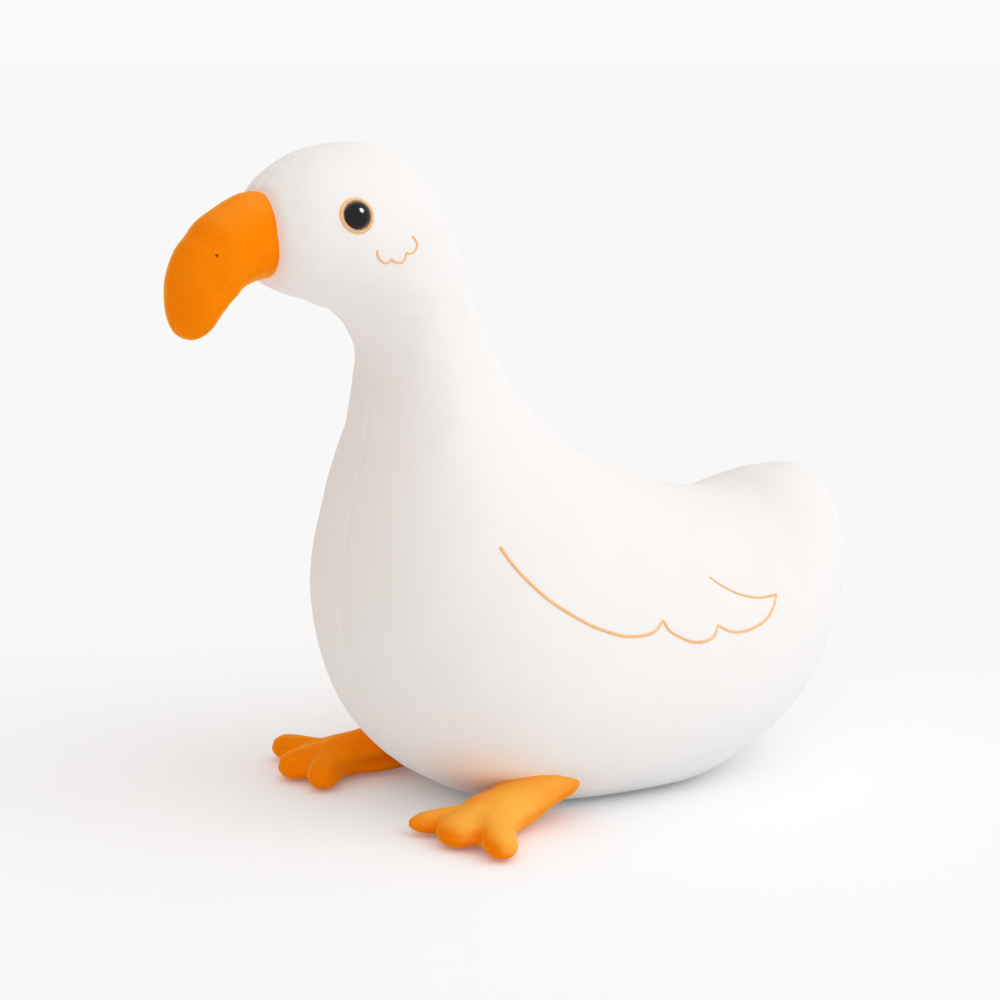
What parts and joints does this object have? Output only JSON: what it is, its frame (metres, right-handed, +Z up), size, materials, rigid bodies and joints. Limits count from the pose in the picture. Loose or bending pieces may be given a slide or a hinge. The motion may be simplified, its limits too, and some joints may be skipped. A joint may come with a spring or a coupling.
{
  "type": "plush goose pillow",
  "caption": "Stuffed goose pillow with a nodding neck, drooping orange beak, stitched wing lines and floppy webbed legs; sits on its flat base.",
  "frame": {"origin": "middle of the flat patch under the body, on the surface that the goose sits on", "axes": "+Z up; the goose faces -X, its tail points to +X and its left side is -Y"},
  "size_m": [0.488, 0.2486, 0.3947],
  "materials": {
    "white_plush": "short brushed pile, soft sheen",
    "orange_plush": "short brushed pile, soft sheen",
    "stuffing_fibre": "loose polyester fibre",
    "orange_thread": "satin stitch",
    "brown_thread": "knotted thread",
    "eye_black": "polished dome",
    "washer_plastic": "moulded"
  },
  "bodies": {
    "body": {"body_side_left": "white_plush", "body_side_right": "white_plush", "body_base": "white_plush", "body_stuffing": "stuffing_fibre", "wing_stitch_left": "orange_thread", "wing_stitch_right": "orange_thread"},
    "head": {"head_side_left": "white_plush", "head_side_right": "white_plush", "head_stuffing": "stuffing_fibre", "beak_left": "orange_plush", "beak_right": "orange_plush", "beak_stuffing": "stuffing_fibre", "nostril_knot_left": "brown_thread", "nostril_knot_right": "brown_thread", "eye_left": "eye_black", "eye_right": "eye_black", "eye_ring_left": "orange_thread", "eye_ring_right": "orange_thread", "eye_washer_left": "washer_plastic", "eye_washer_right": "washer_plastic", "cheek_stitch_left": "orange_thread", "cheek_stitch_right": "orange_thread"},
    "leg_left": {"leg_top_left": "orange_plush", "leg_sole_left": "orange_plush", "leg_stuffing_left": "stuffing_fibre"},
    "leg_right": {"leg_top_right": "orange_plush", "leg_sole_right": "orange_plush", "leg_stuffing_right": "stuffing_fibre"}
  },
  "joints": [
    {"name": "neck_nod", "type": "hinge", "parent": "body", "child": "head", "pos_m": [-0.08802, 0, 0.27018], "axis": [0, -1, 0], "range_deg": [-15, 20], "stiffness_Nm_per_rad": 2},
    {"name": "leg_left_swing", "type": "hinge", "parent": "body", "child": "leg_left", "pos_m": [-0.02494, -0.05957, 0.008], "axis": [0.2164, -0.9763, 0], "range_deg": [0, 75]},
    {"name": "leg_right_swing", "type": "hinge", "parent": "body", "child": "leg_right", "pos_m": [-0.02494, 0.05957, 0.008], "axis": [-0.2164, -0.9763, 0], "range_deg": [0, 75]}
  ]
}
